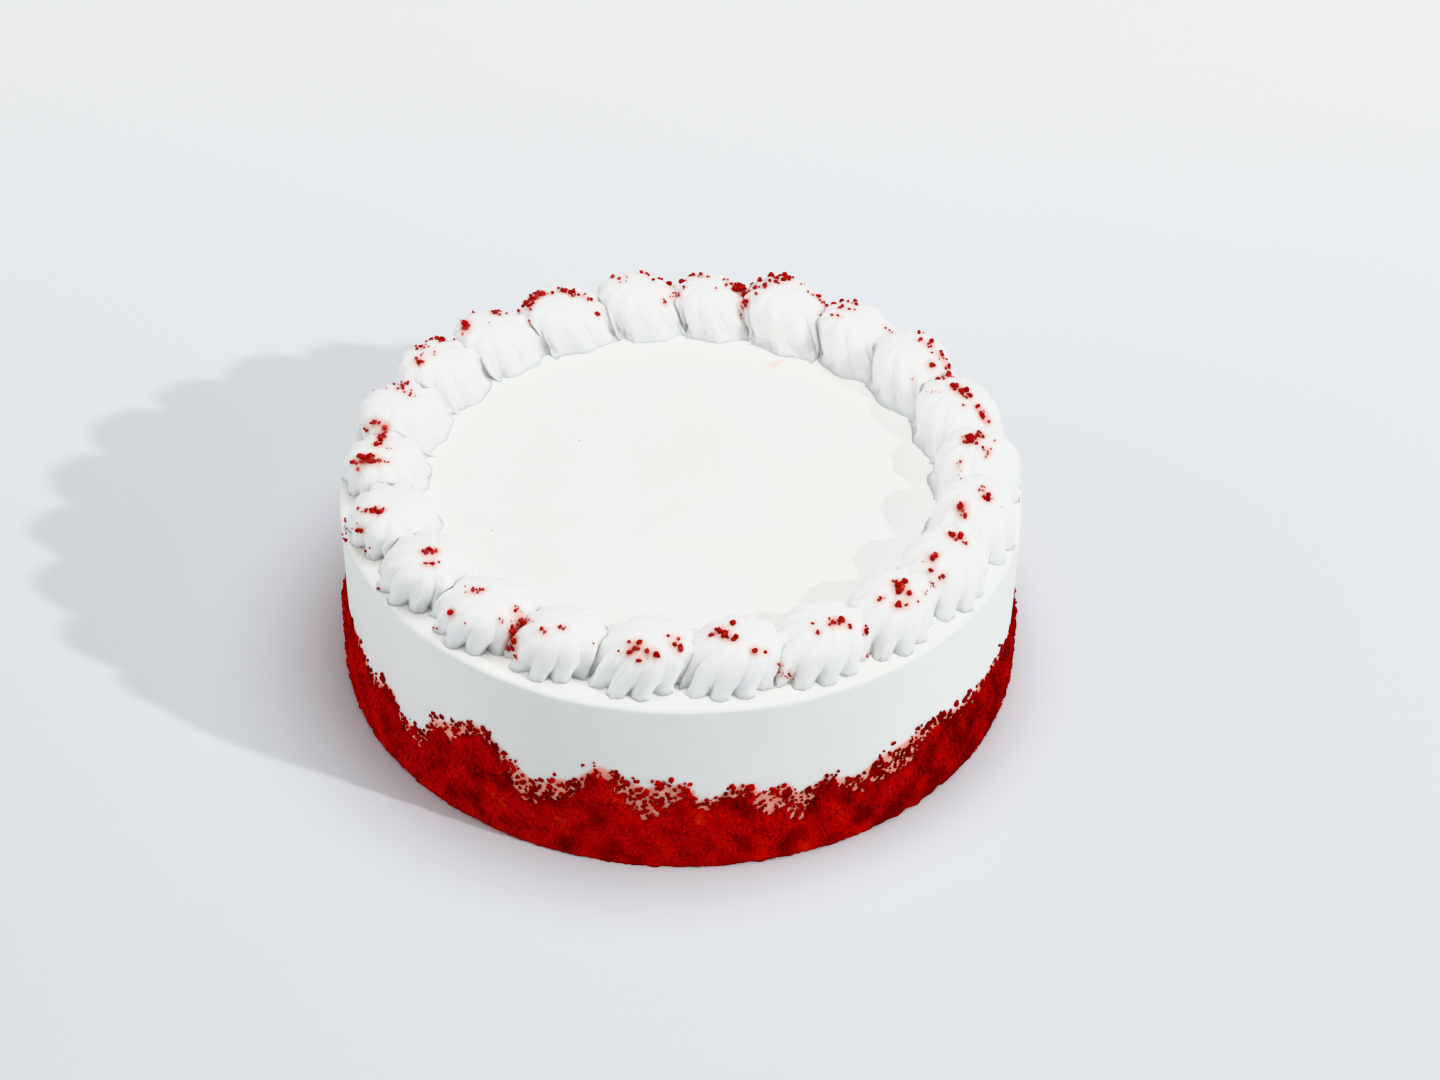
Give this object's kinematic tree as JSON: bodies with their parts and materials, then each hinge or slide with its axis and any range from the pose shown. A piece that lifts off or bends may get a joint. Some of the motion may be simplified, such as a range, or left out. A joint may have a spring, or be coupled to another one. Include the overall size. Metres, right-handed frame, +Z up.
{
  "type": "red velvet cake",
  "caption": "Round red velvet cake covered in smooth white cream, with a ring of piped cream rosettes on top and red cake crumbs round the lower side.",
  "frame": {"origin": "centre of the cake's underside, on the surface it stands on", "axes": "+Z up through the middle of the cake, -Y towards the front, +X to the right"},
  "size_m": [0.2118, 0.2122, 0.0766],
  "materials": {
    "body_cream": "smooth white whipped cream, soft satin",
    "piped_cream": "piped white whipped cream, soft satin",
    "red_crumbs": "moist deep red cake crumbs, matt"
  },
  "bodies": {
    "root": {"cake": "body_cream", "rosette_01": "piped_cream", "rosette_02": "piped_cream", "rosette_03": "piped_cream", "rosette_04": "piped_cream", "rosette_05": "piped_cream", "rosette_06": "piped_cream", "rosette_07": "piped_cream", "rosette_08": "piped_cream", "rosette_09": "piped_cream", "rosette_10": "piped_cream", "rosette_11": "piped_cream", "rosette_12": "piped_cream", "rosette_13": "piped_cream", "rosette_14": "piped_cream", "rosette_15": "piped_cream", "rosette_16": "piped_cream", "rosette_17": "piped_cream", "rosette_18": "piped_cream", "rosette_19": "piped_cream", "rosette_20": "piped_cream", "rosette_21": "piped_cream", "rosette_22": "piped_cream"}
  },
  "joints": []
}
